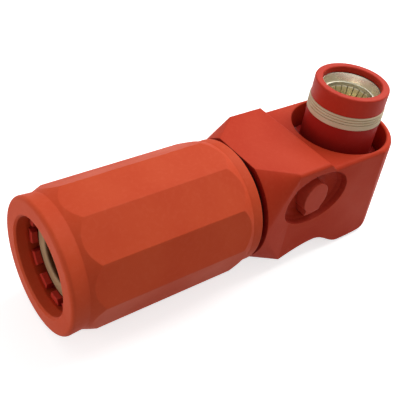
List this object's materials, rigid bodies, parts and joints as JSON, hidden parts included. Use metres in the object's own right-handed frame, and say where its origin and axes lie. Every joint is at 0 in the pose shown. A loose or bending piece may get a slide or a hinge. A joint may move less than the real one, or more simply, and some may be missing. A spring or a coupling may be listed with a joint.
{
  "type": "right-angle single pole power connector",
  "caption": "Right-angle high-current plug with an upright round mating nose, side release buttons and a many-sided back nut that clamps the cable.",
  "frame": {"origin": "on the axis of the mating nose, level with the rim of the collar round it", "axes": "+Z along the nose, the way the mating half is lifted off; the cable leaves along -X; +Y to the left when looking along +X, so the -Y side is the right-hand one"},
  "size_m": [0.1055, 0.0346, 0.0429],
  "materials": {
    "head_red": "semi-matte moulded, fine grain",
    "nose_red": "semi-matte moulded",
    "guard_red": "satin moulded",
    "button_red": "semi-matte moulded",
    "nut_red": "semi-matte moulded",
    "cage_red": "semi-matte moulded",
    "seal_cream": "matte silicone",
    "seal_beige": "matte silicone",
    "ring_black": "matte",
    "contact_silver": "silver plated, satin",
    "strip_silver": "plated spring alloy, satin",
    "screw_steel": "zinc plated",
    "washer_steel": "zinc plated",
    "lug_tin": "tin plated, dull",
    "nut_brass": "plain turned",
    "latch_red": "smooth engineering plastic",
    "spring_wire": "drawn spring wire",
    "washer_ivory": "smooth"
  },
  "bodies": {
    "head": {"head_shell": "head_red", "nose_tube": "nose_red", "touch_guard": "guard_red", "nose_seal": "seal_cream", "socket_body": "contact_silver", "contact_grid": "strip_silver", "contact_screw": "screw_steel", "spring_washer": "washer_steel", "cable_lug": "lug_tin", "terminal_nut": "nut_brass", "nose_o_ring": "ring_black", "slide_spring": "spring_wire", "seal_washer": "washer_ivory", "cable_seal": "seal_beige", "nut_o_ring": "ring_black"},
    "latch": {"lock_slide": "latch_red"},
    "left_button": {"left_button": "button_red"},
    "right_button": {"right_button": "button_red"},
    "clamp": {"clamp_cage": "cage_red"},
    "nut": {"back_nut": "nut_red"}
  },
  "joints": [
    {"name": "latch_slide", "type": "slide", "parent": "head", "child": "latch", "axis": [-1, 0, 0], "range_m": [0, 0.0012], "stiffness_N_per_m": 1000, "springref_m": -0.002, "deforming": ["slide_spring"]},
    {"name": "left_press", "type": "slide", "parent": "head", "child": "left_button", "axis": [0, -1, 0], "range_m": [0, 0.0012]},
    {"name": "right_press", "type": "slide", "parent": "head", "child": "right_button", "axis": [0, 1, 0], "range_m": [0, 0.0012]},
    {"name": "cage_slide", "type": "slide", "parent": "head", "child": "clamp", "axis": [-1, 0, 0], "range_m": [0, 0.008]},
    {"name": "nut_turn", "type": "hinge", "parent": "clamp", "child": "nut", "pos_m": [-0.0644, 0, -0.0122], "axis": [-1, 0, 0], "range_deg": [0, 1440]}
  ],
  "couplings": [
    {"joint": "left_press", "follows": "latch_slide", "ratio": 1},
    {"joint": "right_press", "follows": "latch_slide", "ratio": 1},
    {"joint": "nut_turn", "follows": "cage_slide", "rad_per_m": 3141.6}
  ]
}
